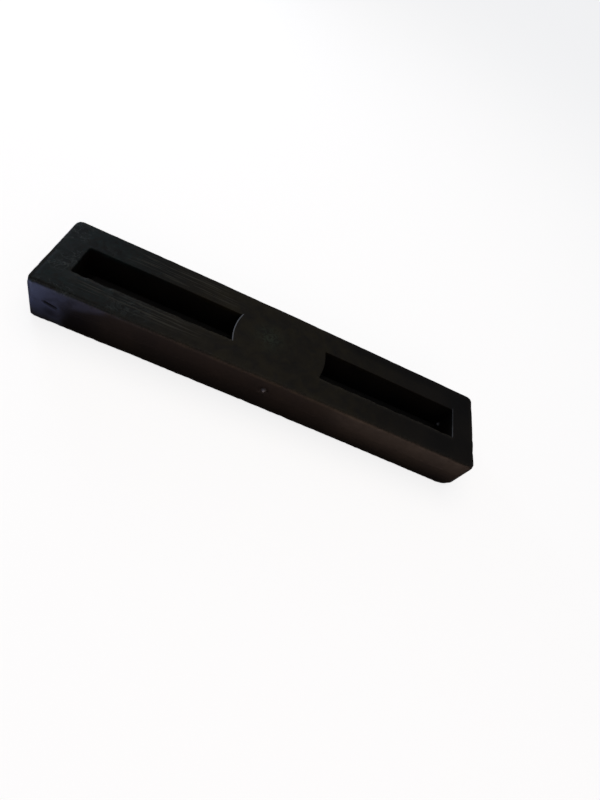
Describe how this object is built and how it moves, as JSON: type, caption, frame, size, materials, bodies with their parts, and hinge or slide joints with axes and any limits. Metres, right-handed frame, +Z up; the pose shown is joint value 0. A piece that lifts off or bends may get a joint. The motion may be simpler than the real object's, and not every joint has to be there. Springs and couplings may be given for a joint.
{
  "type": "rubber speed bump",
  "caption": "Straight-sided moulded rubber road bar with deep pockets in its top face, each with a steel clamp plate and sleeved anchor-bolt holes in its floor.",
  "frame": {"origin": "centre of the flat underside, at the middle of the bar's length and width", "axes": "+X along the bar, to the right when the long side with the gate mark faces the viewer, +Y across the bar away from that side, +Z up out of the pocketed top face"},
  "size_m": [0.5, 0.104, 0.052],
  "materials": {
    "moulded_rubber": "black, moulded, scuffed and dusty on top",
    "plate_steel": "black coated, matt",
    "sleeve_steel": "zinc plated"
  },
  "bodies": {
    "root": {"rubber_body": "moulded_rubber", "left_clamp_plate": "plate_steel", "right_clamp_plate": "plate_steel", "left_outer_sleeve": "sleeve_steel", "left_inner_sleeve": "sleeve_steel", "right_inner_sleeve": "sleeve_steel", "right_outer_sleeve": "sleeve_steel"}
  },
  "joints": []
}
